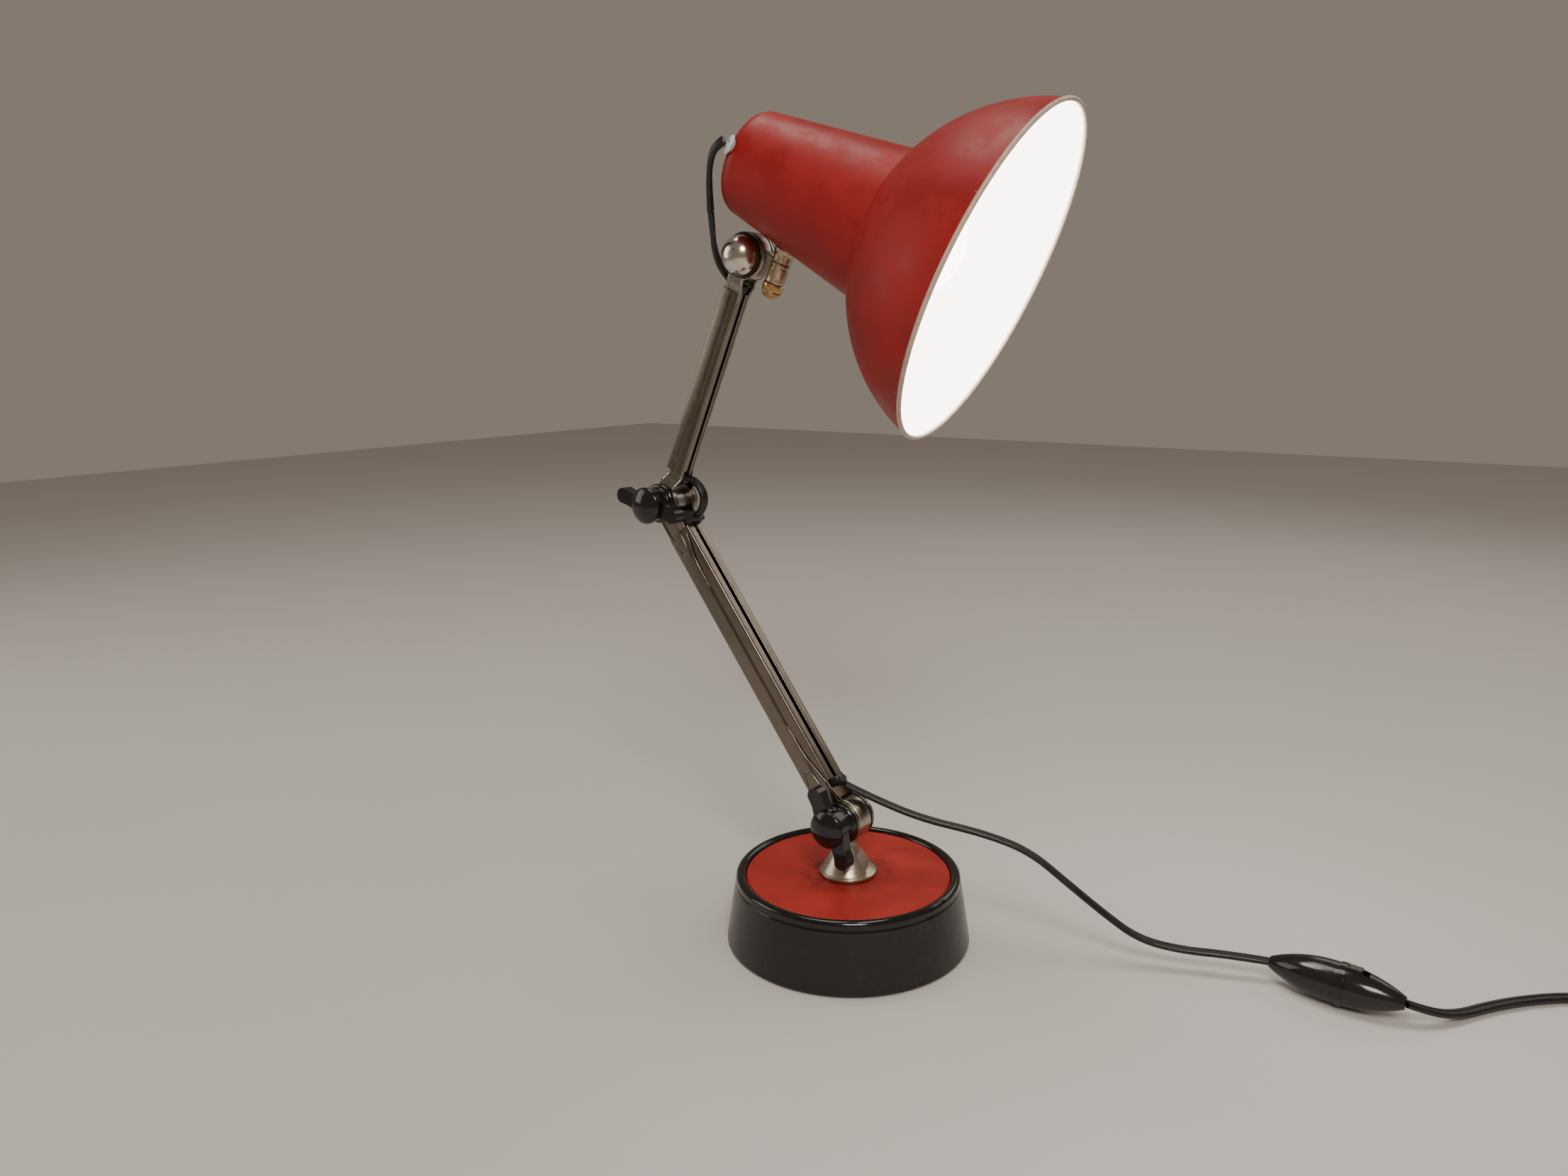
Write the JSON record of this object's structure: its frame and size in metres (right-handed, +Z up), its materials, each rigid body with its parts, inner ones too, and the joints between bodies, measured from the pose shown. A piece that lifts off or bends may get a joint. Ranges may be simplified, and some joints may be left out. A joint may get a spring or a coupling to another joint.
{
  "type": "desk lamp",
  "caption": "Jointed desk lamp: round weighted base, two slotted steel arms with wing knobs, and a swivelling bell shade on a corded switch lead.",
  "frame": {"origin": "middle of the base's underside, on the table", "axes": "+Z up; +X the way the arms lean out to the shade, with both arms in the XZ plane; the wing knobs of the two lower hinges are on the -Y side"},
  "size_m": [0.653, 0.31, 0.4555],
  "materials": {
    "black_shell": "moulded black, glossy bead",
    "red_paint": "matt red enamel",
    "nickel": "worn nickel plate",
    "chrome": "polished",
    "steel": "plain",
    "rusty_steel": "aged",
    "brass": "tarnished",
    "iron": "rough",
    "fibre": "dark brown fibre washer",
    "felt": "felt",
    "rubber": "satin",
    "cord": "flexible sheath",
    "bakelite": "glossy black",
    "grommet": "pale",
    "ceramic": "white moulding",
    "glass": "frosted"
  },
  "bodies": {
    "base": {"base_shell": "black_shell", "top_disc": "red_paint", "ballast_weight": "iron", "base_spacer": "steel", "base_pad": "felt", "foot_washer": "steel"},
    "foot": {"foot_cone": "nickel", "foot_stud": "steel", "foot_nut_set": "steel", "mains_lead": "cord", "mains_lead_tail": "cord", "mains_lead_end": "cord", "switch_shell_lamp_side": "bakelite", "switch_shell_plug_side": "bakelite", "lead_coil": "cord", "plug_body": "rubber", "plug_pins": "brass"},
    "lower_arm": {"lower_arm_rail": "nickel", "base_hinge_bolt": "rusty_steel", "base_hinge_washers": "fibre", "elbow_spacer": "steel", "lead_exit_bush": "rubber", "elbow_lower_bush": "rubber", "lower_arm_lead": "cord"},
    "base_knob": {"base_knob": "bakelite", "base_knob_insert": "brass"},
    "upper_arm": {"upper_arm_sleeve": "nickel", "upper_strips": "chrome", "elbow_bolt": "rusty_steel", "elbow_washers": "fibre", "elbow_upper_bush": "rubber", "head_bush": "rubber", "upper_arm_lead": "cord", "elbow_lead": "cord"},
    "elbow_knob": {"elbow_knob": "bakelite", "elbow_knob_insert": "brass"},
    "head": {"head_bracket": "nickel", "head_washers": "fibre", "head_bolt": "chrome", "head_lead_arm": "cord"},
    "head_knob": {"head_knob": "bakelite", "head_knob_insert": "brass"},
    "shade": {"shade_shell": "red_paint", "swivel_collar": "nickel", "swivel_stud": "steel", "swivel_cap_nut": "brass", "swivel_clamp": "steel", "holder_bracket": "steel", "lampholder_shell": "ceramic", "holder_nipple": "brass", "holder_insert": "ceramic", "holder_thread": "brass", "lead_grommet": "grommet", "head_lead_shade": "cord"},
    "bulb": {"bulb_cap": "brass", "bulb_glass": "glass"},
    "switch_slider": {"switch_slider": "bakelite"}
  },
  "joints": [
    {"name": "base_swivel", "type": "hinge", "parent": "base", "child": "foot", "pos_m": [0, 0, 0], "axis": [0, 0, 1], "range_deg": [-170, 170]},
    {"name": "base_hinge", "type": "hinge", "parent": "foot", "child": "lower_arm", "pos_m": [0, 0, 0.0716], "axis": [0, 1, 0], "range_deg": [-40, 55], "deforming": ["mains_lead"]},
    {"name": "elbow_hinge", "type": "hinge", "parent": "lower_arm", "child": "upper_arm", "pos_m": [-0.12879, 0, 0.24376], "axis": [0, 1, 0], "range_deg": [-60, 40], "deforming": ["elbow_lead"]},
    {"name": "head_tilt", "type": "hinge", "parent": "upper_arm", "child": "head", "pos_m": [-0.0655, 0, 0.38393], "axis": [0, 1, 0], "range_deg": [-55, 28], "deforming": ["head_lead_arm"]},
    {"name": "shade_swivel", "type": "hinge", "parent": "head", "child": "shade", "pos_m": [-0.04609, 0, 0.37446], "axis": [0.4384, 0, 0.8988], "range_deg": [-90, 75], "deforming": ["head_lead_shade"]},
    {"name": "base_knob_turn", "type": "hinge", "parent": "lower_arm", "child": "base_knob", "pos_m": [0, -0.016, 0.0716], "axis": [0, 1, 0], "continuous": true},
    {"name": "elbow_knob_turn", "type": "hinge", "parent": "upper_arm", "child": "elbow_knob", "pos_m": [-0.12879, -0.018, 0.24376], "axis": [0, 1, 0], "continuous": true},
    {"name": "head_knob_turn", "type": "hinge", "parent": "head", "child": "head_knob", "pos_m": [-0.0655, 0.016, 0.38393], "axis": [0, 1, 0], "continuous": true},
    {"name": "bulb_turn", "type": "hinge", "parent": "shade", "child": "bulb", "pos_m": [-0.02588, 0, 0.4159], "axis": [0.8832, 0.1857, -0.4307], "continuous": true},
    {"name": "switch_slide", "type": "slide", "parent": "foot", "child": "switch_slider", "axis": [0.9994, -0.0334, 0], "range_m": [0, 0.0032]}
  ]
}
